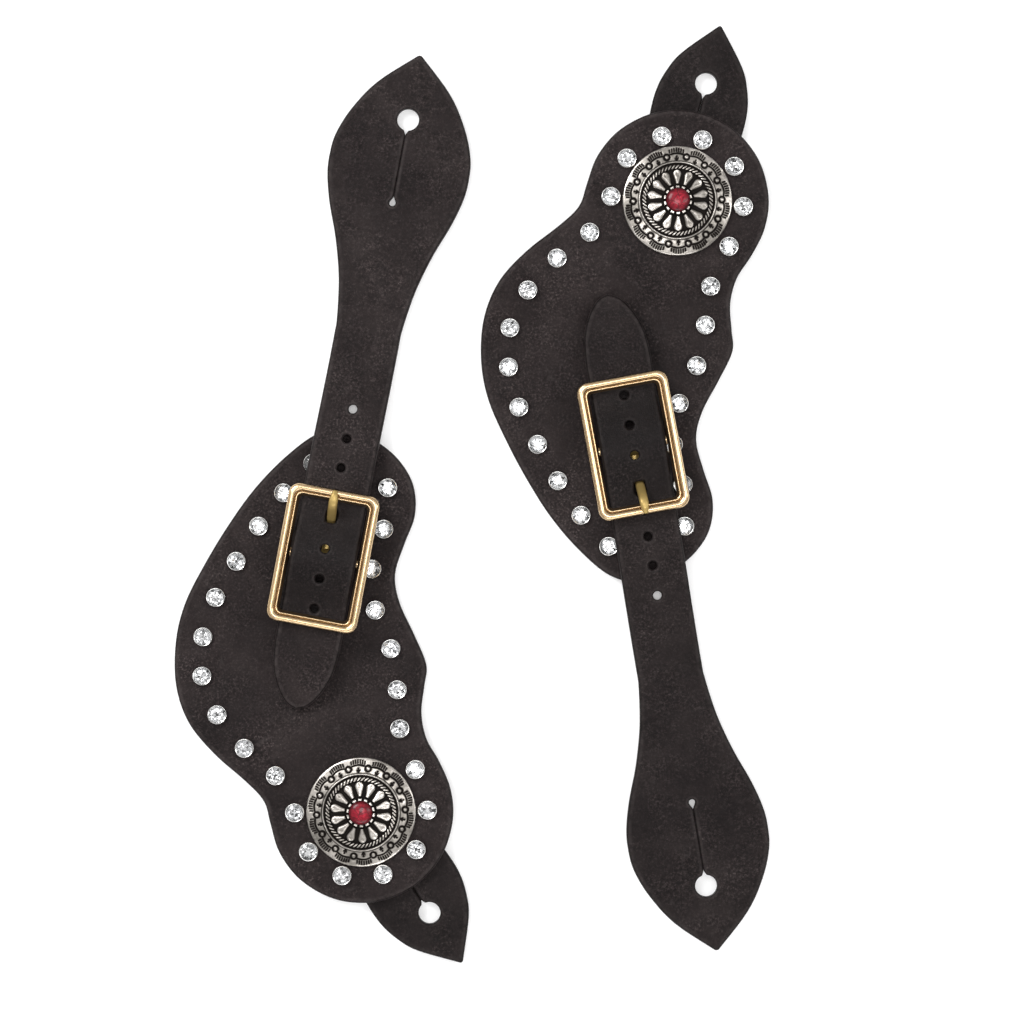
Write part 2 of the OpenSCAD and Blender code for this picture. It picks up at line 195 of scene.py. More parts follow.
def place_points(points, matrix):
    """Points in millimetres of a local frame, as metres in the part's frame."""
    return moved(np.asarray(points, float) * MM, matrix)


def gather(parts):
    """One set of points and faces from several."""
    points, faces, base = [], [], 0
    for p, f in parts:
        points.append(np.asarray(p, float))
        faces += [[i + base for i in face] for face in f]
        base += len(p)
    return np.vstack(points), faces


def repeated(shape, places):
    """One set of points and faces, in metres, from a shape in millimetres at each place."""
    points, faces = shape
    return gather([(place_points(points, m), faces) for m in places])


def grid_faces(rows, columns, wrap_rows=False):
    """Quads of a grid of points stored row by row, each row closed on itself."""
    faces = []
    for i in range(rows if wrap_rows else rows - 1):
        for j in range(columns):
            i2, j2 = (i + 1) % rows, (j + 1) % columns
            faces.append([i * columns + j, i * columns + j2, i2 * columns + j2, i2 * columns + j])
    return faces


def loft(rings, ends=None):
    """Closed surface through rings of equally many points, with a fan to a point at each end."""
    count = len(rings[0])
    if ends is None:
        ends = np.mean(rings[0], 0), np.mean(rings[-1], 0)
    points = np.vstack([*rings, *ends])
    faces = grid_faces(len(rings), count)
    first, last = len(points) - 2, len(points) - 1
    base = (len(rings) - 1) * count
    for j in range(count):
        k = (j + 1) % count
        faces += [[first, k, j], [last, base + j, base + k]]
    return points, faces


def superellipse(a, b, power, count):
    """Points round an ellipse of half axes a and b, squarer the higher its power."""
    turn = math.tau * np.arange(count) / count
    c, s = np.cos(turn), np.sin(turn)
    x = a * np.abs(c) ** (2 / power) * np.sign(c)
    y = b * np.abs(s) ** (2 / power) * np.sign(s)
    return np.stack([x, y], axis=1)


def polar(count, radius, height, turn=0.0):
    """Points of a level ring, turned by that share of a step."""
    return [
        (radius * math.cos(a), radius * math.sin(a), height)
        for a in (math.tau * (i + turn) / count for i in range(count))
    ]


def turned(profile, segments):
    """Rings about Z through [radius, height] points, where a height may vary round its ring."""
    circle = superellipse(1, 1, 2, segments)
    return [np.c_[circle * radius, np.full(segments, height)] for radius, height in profile]


def lathe(profile, segments):
    """Closed surface of revolution about Z from [radius, height] points, first and last on Z."""
    ends = [(0, 0, height) for _, height in (profile[0], profile[-1])]
    return loft(turned(profile[1:-1], segments), ends)


def smoothstep(u):
    """From 0 to 1 as u does, level at both ends."""
    v = np.clip(u, 0, 1)
    return v * v * (3 - 2 * v)


def recalculate(obj):
    """Faces of every closed shell turned outwards."""
    b = bmesh.new()
    b.from_mesh(obj.data)
    bmesh.ops.recalc_face_normals(b, faces=b.faces)
    b.to_mesh(obj.data)
    b.free()


def shade_by_angle(obj, degrees):
    """Smooth shading with creases where faces meet at more than the angle."""
    b = bmesh.new()
    b.from_mesh(obj.data)
    limit = math.radians(degrees)
    for e in b.edges:
        e.smooth = len(e.link_faces) != 2 or e.calc_face_angle() < limit
    b.to_mesh(obj.data)
    b.free()
    obj.data.update()


def finish_piece(obj, material, body, slot, *nodes):
    """Material, body, slot (not used) and the CAD nodes that the piece stands for."""
    obj.data.materials.clear()
    for m in material if isinstance(material, list) else [material]:
        obj.data.materials.append(m)
    if body:
        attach(obj, body)
    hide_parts(*nodes)


def hard_piece(name, shape, crease, *finish):
    """Piece whose faces meet in a crease at more than that many degrees."""
    obj = new_object(name, *shape)
    shade_by_angle(obj, crease)
    finish_piece(obj, *finish)


# ---- materials


class Shader:
    """Node tree of one material: a Principled shader and short calls for what feeds it."""

    def __init__(self, name, values):
        self.material = bpy.data.materials.new(name)
        self.material.use_nodes = True
        self.tree = self.material.node_tree
        self.tree.nodes.clear()
        self.bsdf = self.add("ShaderNodeBsdfPrincipled")
        out = self.add("ShaderNodeOutputMaterial")
        self.tree.links.new(self.bsdf.outputs["BSDF"], out.inputs["Surface"])
        for key, value in values.items():
            self.bsdf.inputs[key].default_value = value

    def add(self, kind, **settings):
        """New node with those settings."""
        node = self.tree.nodes.new(kind)
        for key, value in settings.items():
            setattr(node, key, value)
        return node

    def feed(self, socket, source):
        """A socket takes a link, a colour or a plain value, which is a grey on a colour socket."""
        if isinstance(source, bpy.types.NodeSocket):
            self.tree.links.new(source, socket)
        elif socket.type == "RGBA":
            colour = source if isinstance(source, tuple) else (source,) * 3
            socket.default_value = (*colour, 1.0)
        else:
            socket.default_value = source

    def drive(self, name, source):
        """Feeds one of the shader's own sockets."""
        self.feed(self.bsdf.inputs[name], source)

    def attribute(self, name, output="Fac"):
        """What the mesh carries under that name."""
        return self.add("ShaderNodeAttribute", attribute_name=name).outputs[output]

    def place(self):
        """Object coordinates in millimetres."""
        coords = self.add("ShaderNodeTexCoord").outputs["Object"]
        scale = self.add("ShaderNodeVectorMath", operation="SCALE")
        self.feed(scale.inputs[0], coords)
        scale.inputs["Scale"].default_value = 1 / MM
        return scale.outputs[0]

    def noise(self, at, scale, detail, roughness=0.5, distortion=0.0):
        """Soft random field from 0 to 1."""
        node = self.add("ShaderNodeTexNoise")
        self.feed(node.inputs["Vector"], at)
        names = ("Scale", "Detail", "Roughness", "Distortion")
        for name, value in zip(names, (scale, detail, roughness, distortion)):
            node.inputs[name].default_value = value
        return node.outputs["Fac"]

    def cells(self, at, scale):
        """Distance to the nearest border between cells."""
        node = self.add("ShaderNodeTexVoronoi", feature="DISTANCE_TO_EDGE")
        self.feed(node.inputs["Vector"], at)
        node.inputs["Scale"].default_value = scale
        return node.outputs["Distance"]

    def ramp(self, source, *stops):
        """Colours, or greys, at places from 0 to 1."""
        node = self.add("ShaderNodeValToRGB")
        line = node.color_ramp
        while len(line.elements) < len(stops):
            line.elements.new(0.5)
        for element, (at, value) in zip(line.elements, stops):
            element.position = at
            value = value if isinstance(value, tuple) else (value,) * 3
            element.color = (*value, 1.0)
        self.feed(node.inputs["Fac"], source)
        return node.outputs["Color"]

    def mix(self, factor, a, b, blend="MIX"):
        """Two colours or greys blended."""
        node = self.add("ShaderNodeMix", data_type="RGBA", blend_type=blend)
        self.feed(node.inputs["Factor"], factor)
        self.feed(node.inputs[6], a)
        self.feed(node.inputs[7], b)
        return node.outputs[2]

    def math(self, operation, a, b, clamp=False):
        node = self.add("ShaderNodeMath", operation=operation, use_clamp=clamp)
        self.feed(node.inputs[0], a)
        self.feed(node.inputs[1], b)
        return node.outputs[0]

    def bump(self, height, strength, depth, under=None):
        """Normal from a height, whose full range stands depth millimetres tall."""
        node = self.add("ShaderNodeBump")
        node.inputs["Strength"].default_value = strength
        node.inputs["Distance"].default_value = depth * MM
        self.feed(node.inputs["Height"], height)
        if under is not None:
            self.feed(node.inputs["Normal"], under)
        return node.outputs["Normal"]


def shaded(colour, factor):
    return tuple(c * factor for c in colour)


# black dye over brown leather: where it took well, on the whole, and where it took badly
DYE = ((0.0125, 0.0088, 0.0088), (0.0195, 0.0141, 0.0139), (0.0300, 0.0225, 0.0220))
# scuffed patches, and the painted highlight just inside the arris
SCUFFED, EDGE_HIGHLIGHT = (0.050, 0.041, 0.040), (0.058, 0.048, 0.047)
FLESH = ((0.036, 0.024, 0.018), (0.115, 0.082, 0.062))
FAR_FROM_EDGE = 4.0  # millimetres; the edge attribute stops growing there
POLISH_SPAN = 40.0  # millimetres from the polished point to the end of its ramp


def leather(name, tone, polished=None):
    """Dark dyed strap leather: pebbled grain with painted glints, mottled finish, burnished edge with a
    painted highlight inside it, and flesh side. Round the point polished, in millimetres, it is darker and
    smoother."""
    s = Shader(name, {"Specular IOR Level": 0.1})
    at = s.attribute("rest", "Vector")
    edge = s.math("MULTIPLY", s.attribute("edge"), 1 / FAR_FROM_EDGE)
    flesh = s.attribute("flesh")
    dyes = [shaded(colour, tone) for colour in DYE]
    base = s.ramp(s.noise(at, 0.05, 5.0, 0.65), *zip((0.32, 0.50, 0.68), dyes))
    # specks on the grain: partly its own mottling and partly painted glints off the pebbles, dense in some patches
    # and faint in others
    specks_and_glints = s.ramp(
        s.noise(at, 1.5, 3.5, 0.8), (0.34, 0.28), (0.50, 0.75), (0.57, 1.5), (0.70, (3.7, 4.0, 4.0))
    )
    patch = s.ramp(s.noise(at, 0.11, 3.0, 0.6, 0.6), (0.40, 0.30), (0.62, 1.0))
    base = s.mix(patch, base, s.mix(1.0, base, specks_and_glints, "MULTIPLY"))
    scuff = s.ramp(s.noise(at, 0.22, 6.0, 0.72, 0.6), (0.60, 0.0), (0.74, 0.5))
    base = s.mix(scuff, base, shaded(SCUFFED, tone))
    # the burnished arris is dark, and just inside it, along the creaser's line, a lighter band is painted
    # highlight of the rolled edge, broken here and there
    worn = s.ramp(edge, (0.0, 0.05), (0.14, 0.7), (0.28, 0.5), (0.42, 0.0))
    worn = s.math("MULTIPLY", worn, s.ramp(s.noise(at, 0.5, 3.0), (0.35, 0.15), (0.65, 0.9)))
    base = s.mix(worn, base, shaded(EDGE_HIGHLIGHT, tone))
    burnish = s.ramp(edge, (0.0, 0.35), (0.07, 0.45), (0.15, 1.0))
    base = s.mix(1.0, base, burnish, "MULTIPLY")
    gloss = s.ramp(s.noise(at, 0.35, 4.0, 0.6), (0.3, 0.40), (0.7, 0.60))
    if polished is not None:
        away = s.add("ShaderNodeVectorMath", operation="DISTANCE")
        s.feed(away.inputs[0], at)
        away.inputs[1].default_value = polished
        rubbed = s.math("MULTIPLY", away.outputs["Value"], 1 / POLISH_SPAN)
        rubbed = s.ramp(rubbed, (0.30, 1.0), (0.52, 0.0))
        # round the buckle's middle the leather is darker and smoother
        base = s.mix(s.math("MULTIPLY", rubbed, 0.42), base, 0.0)
        gloss = s.mix(rubbed, gloss, 0.36)
    suede = s.ramp(s.noise(at, 2.4, 5.0, 0.75), *zip((0.35, 0.65), FLESH))
    s.drive("Base Color", s.mix(flesh, base, suede))
    s.drive("Roughness", s.mix(flesh, gloss, 0.95))
    bent = s.add("ShaderNodeVectorMath", operation="ADD")
    s.feed(bent.inputs[0], at)
    s.feed(bent.inputs[1], s.noise(at, 1.3, 2.0))
    pebble = s.ramp(s.cells(bent.outputs[0], 1.9), (0.0, 0.0), (0.22, 0.85), (0.5, 1.0))
    fine = s.noise(at, 5.0, 3.0, 0.7)
    crease = s.ramp(s.noise(at, 0.28, 5.0, 0.65, 0.8), (0.44, 1.0), (0.5, 0.0), (0.56, 1.0))
    normal = s.bump(crease, 0.3, 0.14)
    normal = s.bump(pebble, 0.6, 0.08, normal)
    normal = s.bump(fine, 0.6, 0.05, normal)
    s.drive("Normal", normal)
    return s.material


def brass(name, colour, dark, smooth, dull, metallic=1.0):
    """Worn brass between two roughnesses, with painted shade in the hollows, and clouded with tarnish."""
    s = Shader(name, {"Metallic": metallic, "Specular IOR Level": 0.3})
    at = s.place()
    hollow = s.attribute("recess")
    tarnish = s.ramp(s.noise(at, 0.25, 5.0, 0.7), (0.35, 0.0), (0.75, 0.5))
    base = s.mix(tarnish, colour, shaded(colour, 0.72))
    # painted shade: the hollows, such as the frame's inner wall and grooves, go over to the dark colour
    s.drive("Base Color", s.mix(s.math("MULTIPLY", hollow, 0.85), base, dark))
    rough = s.ramp(s.noise(at, 1.2, 4.0, 0.6), (0.3, smooth), (0.7, dull))
    s.drive("Roughness", s.mix(hollow, rough, 0.5))
    s.drive("Normal", s.bump(s.noise(at, 0.35, 2.0), 0.2, 0.08))
    return s.material


def antique_silver(name):
    """Cast silver plate, nearly black in the recesses and rubbed bright on what stands up."""
    s = Shader(name, {"Metallic": 1.0})
    at = s.place()
    hollow = s.attribute("recess")
    blotch = s.ramp(s.noise(at, 0.9, 4.0, 0.65), (0.38, 0.0), (0.75, 0.22))
    cloud = s.ramp(s.noise(at, 0.085, 2.0, 0.6), (0.46, 0.0), (0.64, 0.20))
    depth = s.math("ADD", hollow, s.math("ADD", blotch, cloud), clamp=True)
    base = s.ramp(
        depth, (0.0, (0.80, 0.76, 0.71)), (0.14, (0.50, 0.465, 0.43)),
        (0.32, (0.27, 0.25, 0.225)), (0.62, (0.045, 0.040, 0.036)), (1.0, (0.014, 0.012, 0.011)),
    )
    s.drive("Base Color", base)
    s.drive("Roughness", s.ramp(depth, (0.0, 0.24), (0.5, 0.42), (1.0, 0.7)))
    s.drive("Normal", s.bump(s.noise(at, 3.5, 3.0, 0.6), 0.25, 0.03))
    return s.material


def red_stone(name):
    """Polished red stone with dark veins and a little pale clouding, with a painted highlight at its middle and
    painted shade towards its rim.
    """
    s = Shader(name, {"Coat Weight": 0.06, "Coat Roughness": 0.12, "Specular IOR Level": 0.25})
    at = s.place()
    cloud = s.noise(at, 0.45, 5.0, 0.65, 1.2)
    base = s.ramp(
        cloud, (0.30, (0.050, 0.003, 0.007)), (0.44, (0.18, 0.004, 0.013)),
        (0.60, (0.29, 0.008, 0.022)), (0.78, (0.46, 0.05, 0.07)),
    )
    vein = s.ramp(s.cells(at, 0.42), (0.0, 0.85), (0.06, 0.0))
    base = s.mix(vein, base, (0.035, 0.006, 0.008))
    # painted light: brighter in the middle, with painted shade growing towards the rim
    rim = s.ramp(s.attribute("rim"), (0.0, 1.3), (0.45, 1.05), (0.78, 0.6), (1.0, 0.2))
    s.drive("Base Color", s.mix(1.0, base, rim, "MULTIPLY"))
    s.drive("Roughness", s.ramp(cloud, (0.3, 0.16), (0.7, 0.28)))
    return s.material


def bright_metal(name, colour, low, high):
    """Plated metal with faint wear marks."""
    s = Shader(name, {"Metallic": 1.0})
    at = s.place()
    base = s.ramp(s.noise(at, 1.1, 4.0, 0.6), (0.3, shaded(colour, 0.75)), (0.6, colour))
    s.drive("Base Color", base)
    s.drive("Roughness", s.ramp(s.noise(at, 2.3, 3.0, 0.6), (0.35, low), (0.7, high)))
    s.drive("Normal", s.bump(s.noise(at, 2.0, 3.0, 0.6), 0.2, 0.03))
    return s.material


def cut_glass(name):
    """Clear crystal with the faintest smoky variation."""
    s = Shader(name, {"Transmission Weight": 1.0, "IOR": 1.58, "Roughness": 0.02})
    smoke = s.noise(s.place(), 0.08, 2.0)
    s.drive("Base Color", s.ramp(smoke, (0.35, (0.985, 0.99, 1.0)), (0.65, 1.0)))
    return s.material


def foil(name):
    """Mirror foil behind each crystal, with painted reflections: brighter behind some facets and darker behind
    others.
    """
    s = Shader(name, {"Metallic": 0.7, "Roughness": 0.05})
    painted_facet_light = s.ramp(s.attribute("facet"), (0.0, 0.05), (0.16, 0.34), (0.30, 0.84), (1.0, 0.90))
    cloud = s.ramp(s.noise(s.place(), 0.9, 3.0), (0.3, (0.90, 0.91, 0.92)), (0.6, 1.0))
    s.drive("Base Color", s.mix(1.0, painted_facet_light, cloud, "MULTIPLY"))
    return s.material


# ---- leather pieces

ARRIS_ANGLE = math.radians(50)  # above the blunt corner of the billet's tip
OUTLINE_SPAN = 40 * MM  # an arris loop longer than this across is the piece's outline
OUTLINE_RADIUS = 0.95 * MM
HOLE_RADIUS = 0.3 * MM
ARRIS_STEP = 0.25 * MM
LUMP, RIPPLE, RIPPLE_SHARE = 17 * MM, 6 * MM, 0.35  # sizes of the leather's unevenness
DENT, DENT_REACH = 0.16 * MM, 2.6  # the leather's dent round a stud, the reach in millimetres


def arris_points(points, faces, skip):
    """Points along the sharp edges of a solid, each with the radius that wear has given it."""
    mesh = bpy.data.meshes.new("arris")
    mesh.from_pydata([tuple(p) for p in points], [], faces)
    b = bmesh.new()
    b.from_mesh(mesh)
    bpy.data.meshes.remove(mesh)
    sharp = [
        (e.verts[0].index, e.verts[1].index)
        for e in b.edges
        if len(e.link_faces) == 2 and e.calc_face_angle() > ARRIS_ANGLE
    ]
    b.free()
    label = islands(len(points), sharp)
    found, radii = [], []
    for i, j in sharp:
        loop = points[label == label[i]]
        wide = np.linalg.norm(loop.max(0) - loop.min(0)) > OUTLINE_SPAN
        count = max(2, int(np.linalg.norm(points[i] - points[j]) / ARRIS_STEP))
        for k in range(count):
            p = points[i] + (points[j] - points[i]) * k / count
            if skip is None or not skip(Vector(p)):
                found.append(p)
                radii.append(OUTLINE_RADIUS if wide else HOLE_RADIUS)
    return found, radii


def smoothed(co, edges, rounds):
    """Vertices moved halfway to the mean of their neighbours, that many rounds."""
    a, b = edges[:, 0], edges[:, 1]
    ends = np.r_[a, b]
    degree = np.bincount(ends, minlength=len(co)).clip(1)
    for _ in range(rounds):
        total = [np.bincount(ends, np.r_[co[b, k], co[a, k]], len(co)) for k in range(3)]
        co = (co + np.stack(total, axis=1) / degree[:, None]) / 2
    return co


def mesh_arrays(mesh):
    """Vertices, normals and edges of a mesh as arrays."""
    count = len(mesh.vertices)
    co, normal = np.empty(count * 3), np.empty(count * 3)
    mesh.vertices.foreach_get("co", co)
    mesh.vertices.foreach_get("normal", normal)
    edges = np.empty(len(mesh.edges) * 2, int)
    mesh.edges.foreach_get("vertices", edges)
    return co.reshape(-1, 3), normal.reshape(-1, 3), edges.reshape(-1, 2)


def set_points(mesh, co):
    """Moves the vertices of a mesh."""
    mesh.vertices.foreach_set("co", np.ascontiguousarray(co).ravel())
    mesh.update()


def add_attribute(mesh, name, values, kind="FLOAT", domain="POINT"):
    """Value on each vertex, or on each face, that a material reads."""
    layer = mesh.attributes.new(name, kind, domain)
    key = "vector" if kind == "FLOAT_VECTOR" else "value"
    layer.data.foreach_set(key, np.ascontiguousarray(values, dtype=float).ravel())


def waves(co, size, seed):
    """Smooth random field from -1 to 1 with features of that size in metres."""
    shift = Vector((seed * 13.7, seed * 5.1, seed * 9.3))
    return np.array([noise.noise(Vector(p) / size + shift) for p in co])


def sprung_shut(co, matrix, start, end):
    """Leather with the sides of a cut along the matrix's Y moved together, less at the top."""
    top_shift, foot_shift, depth = 0.18, 0.38, 1.2
    x, y, z = moved(co, matrix.inverted()).T / MM
    top = z.max()
    side = np.where(x > 0, 1.0, -1.0)
    shift = top_shift + (foot_shift - top_shift) * smoothstep((top - z) / depth)
    shift *= 1 - smoothstep((np.abs(x) - 0.4) / 2.2)
    shift *= smoothstep((y - start - 0.9) / 1.2) * smoothstep((end - 0.2 - y) / 1.2)
    across = np.array(matrix)[:3, 0]
    return co - np.outer(side * shift * MM, across)


def leather_piece(
    name, nodes, seed, voxel, swell, dents=(), plugs=(), skip=None, squared=Matrix(), slit=None
):
    """Re-surfaces CAD leather: even mesh, worn arrises, soft unevenness and dents round studs.

    voxel is the mesh's size and swell its unevenness, in millimetres. The mesh is laid out
    square to the matrix squared, so that it keeps a slit along that matrix's Y. slit gives the
    slit's two ends, and its sides spring together. plugs are closed shapes added to the solids,
    and skip says where an arris isn't worn."""
    solids = [node_arrays(n) for n in nodes]
    points, faces = gather([*solids, *plugs])
    lines, radii = [], []
    for solid_points, solid_faces in solids:
        found, worn = arris_points(solid_points, solid_faces, skip)
        lines += found
        radii += worn
    obj = new_object(name, moved(points, squared.inverted()), faces)
    remesh = obj.modifiers.new("even", "REMESH")
    remesh.mode = "VOXEL"
    remesh.voxel_size = voxel * MM
    depsgraph = bpy.context.evaluated_depsgraph_get()
    rough = obj.data
    obj.data = bpy.data.meshes.new_from_object(obj.evaluated_get(depsgraph))
    obj.modifiers.clear()
    bpy.data.meshes.remove(rough)
    mesh = obj.data
    mesh.transform(squared)
    mesh.name = name
    co, _, edges = mesh_arrays(mesh)
    set_points(mesh, smoothed(co, edges, 2))
    co, normal, edges = mesh_arrays(mesh)
    rest = co.copy()

    tree = KDTree(len(lines))
    for i, p in enumerate(lines):
        tree.insert(p, i)
    tree.balance()
    gap, radius = np.empty(len(co)), np.empty(len(co))
    for i, p in enumerate(co):
        _, nearest, gap[i] = tree.find(p)
        radius[i] = radii[nearest]
    inside = np.clip(radius - gap, 0, None)
    arc = radius - np.sqrt(np.clip(radius**2 - inside**2, 0, None))
    sink = np.minimum(arc, radius * (math.sqrt(2) - 1))
    co = co - normal * sink[:, None]

    upward = smoothstep((normal[:, 2] - 0.3) / 0.4)
    lump = waves(rest, LUMP, seed) + waves(rest, RIPPLE, seed + 3) * RIPPLE_SHARE
    co[:, 2] += lump * swell * upward * MM
    for place in dents:
        centre = np.array(place.translation)
        d = np.linalg.norm(rest[:, :2] - centre[:2], axis=1) / MM
        co[:, 2] -= upward * DENT * (1 - smoothstep((d - STUD_R) / DENT_REACH))
    co = smoothed(co, edges, 1)
    if slit:
        co = sprung_shut(co, squared, *slit)
    set_points(mesh, co)
    mesh.polygons.foreach_set("use_smooth", [True] * len(mesh.polygons))
    # the dark arris and the painted highlight inside it are narrower round a hole
    from_edge = np.where(radius == OUTLINE_RADIUS, gap, gap * 1.6) / MM
    add_attribute(mesh, "rest", rest / MM, "FLOAT_VECTOR")
    add_attribute(mesh, "edge", np.minimum(from_edge, FAR_FROM_EDGE))
    add_attribute(mesh, "flesh", smoothstep((-normal[:, 2] - 0.45) / 0.3))
    return obj


# ---- studs and rivets


def stud_cup():
    """Nickel cup with a rolled rim, and its post through the leather."""
    post_low, post_r = -3.05, 1.0
    return lathe(
        [
            (0, post_low), (post_r - 0.1, post_low), (post_r, post_low + 0.1), (post_r, 0.0),
            (STUD_R - 0.12, 0.0), (STUD_R, 0.14), (STUD_R, 0.55), (STUD_R - 0.07, 0.82),
            (STUD_R - 0.16, 1.0), (STUD_R - 0.27, RIM_H), (STUD_R - 0.37, RIM_H - 0.02),
            (STUD_R - 0.45, RIM_H - 0.12), (1.25, SEAT_H - 0.02), (0, SEAT_H - 0.02),
        ],
        32,
    )


def stud_crystal():
    """Round brilliant: table, star, kite and girdle facets, and a mirror-backed pavilion."""
    table_h, mid_h, girdle_h, belt_h, low_h = 1.7, 1.43, 1.12, 1.02, 0.55
    top = polar(8, 1.32, table_h)
    mid = polar(8, 1.93, mid_h, 0.5)
    girdle = polar(16, GIRDLE_R, girdle_h)
    belt = polar(16, GIRDLE_R, belt_h)
    low = polar(8, 1.25, low_h, 0.5)
    foot = polar(8, 0.45, SEAT_H + 0.02)
    points = top + mid + girdle + belt + low + foot
    t, m, g, b, p, f = 0, 8, 16, 32, 48, 56  # first index of each ring
    crown = [list(range(8))]
    back = [list(range(f + 7, f - 1, -1))]
    for i in range(8):
        j, h = (i + 1) % 8, (i - 1) % 8
        even, odd, after = 2 * i, 2 * i + 1, (2 * i + 2) % 16
        crown += [[t + i, m + i, t + j]]
        crown += [[t + i, m + h, g + even], [t + i, g + even, m + i]]
        crown += [[m + i, g + even, g + odd], [m + i, g + odd, g + after]]
        back += [[p + i, b + odd, b + even], [p + i, b + after, b + odd]]
        back += [[p + h, p + i, b + even]]
        back += [[f + i, p + i, p + h], [f + i, f + j, p + i]]
    for i in range(16):
        j = (i + 1) % 16
        crown.append([g + i, b + i, b + j, g + j])
    return np.array(points), crown, back


def stud_back():
    """Pressed cap on the post, behind the leather."""
    r, h, hole = 2.2, 0.75, 1.02
    low = 0.05 - PANEL_T
    inner = low + 0.12
    return lathe(
        [
            (0, low), (r - 0.35, low), (r - 0.12, low + 0.1), (r, low + 0.3), (r, low + h - 0.1),
            (r - 0.1, low + h), (hole, low + h), (hole, inner), (0, inner),
        ],
        32,
    )


def studs(side, places, metals):
    """The cups, crystals and backs of one panel."""
    body = f"{side}_strap"
    hard_piece(
        f"{side}_nickel_cups", repeated(stud_cup(), places), 50,
        metals["nickel"], body, "silver_cup", f"{side}_stud_cups",
    )

    points, crown, back = stud_crystal()
    crystals = repeated((points, crown + back), places)
    obj = new_object(f"{side}_cut_crystals", *crystals, smooth=False)
    finish_piece(obj, [metals["glass"], metals["foil"]], body, "crystal", f"{side}_stud_crystals")
    index = ([0] * len(crown) + [1] * len(back)) * len(places)
    obj.data.polygons.foreach_set("material_index", index)
    # a random value for each facet, which sets the foil's painted reflection behind it
    add_attribute(obj.data, "facet", [random.random() for _ in index], domain="FACE")

    hard_piece(
        f"{side}_stud_caps", repeated(stud_back(), places), 40,
        metals["steel"], body, "steel", f"{side}_stud_backs",
    )


def rivet_cap(size):
    """Section of a rivet's shank and domed cap, in a box of that size."""
    shank, radius, height = RIVET_SHANK_R, RIVET_CAP_R, size[2]
    flat = height - 0.7
    return [
        (0, 0), (shank - 0.15, 0), (shank, 0.15), (shank, flat), (radius - 0.15, flat),
        (radius, flat + 0.12), (radius - 0.06, flat + 0.28), (radius - 0.5, flat + 0.46),
        (radius - 1.3, flat + 0.62), (radius - 2.3, height - 0.01), (0, height),
    ]


def rivet_flange(size):
    """Section of the flange that a rivet is set into, in a box of that size."""
    shank, radius, height = RIVET_SHANK_R, size[0] / 2, size[2]
    return [
        (0, 0), (shank - 0.3, 0), (shank + 0.2, 0.12), (radius - 0.5, 0), (radius - 0.12, 0.08),
        (radius, 0.25), (radius, height - 0.1), (radius - 0.1, height), (shank + 0.08, height),
        (shank + 0.08, height / 2), (0, height / 2),
    ]


def rivets(side, metals):
    """Tubular rivets through the chape, with domed caps, and the flanges under the panel."""
    for piece, node, section in (
        ("rivet_caps", "chape_rivets", rivet_cap), ("rivet_flanges", "rivet_bases", rivet_flange),
    ):
        parts = []
        for solid in solids_of(f"{side}_{node}"):
            low, high = solid.min(0), solid.max(0)
            shape = lathe(section((high - low) / MM), 48)
            parts.append(repeated(shape, [foot_of(low, high)]))
        hard_piece(
            f"{side}_{piece}", gather(parts), 50,
            metals["steel"], f"{side}_strap", "steel", f"{side}_{node}",
        )


# ---- concho

PETALS = 14
STRANDS = 56
TICK_PITCH = 0.104  # of a sector
# rings of the relief, as shares of the concho's radius
ROPE_AT, ROPE_HALF = 0.608, 0.042
ARROWS_AT, SCALLOPS_AT, SMALL_RINGS_AT = 0.766, 0.806, 0.808


def hump(x, width):
    """Half-round ridge: 1 at x = 0, 0 beyond the width."""
    return np.sqrt(np.clip(1 - (x / width) ** 2, 0, None))


def groove(x, width):
    """Soft valley: 1 at x = 0, dying away past the width."""
    return np.exp(-((x / width) ** 2))


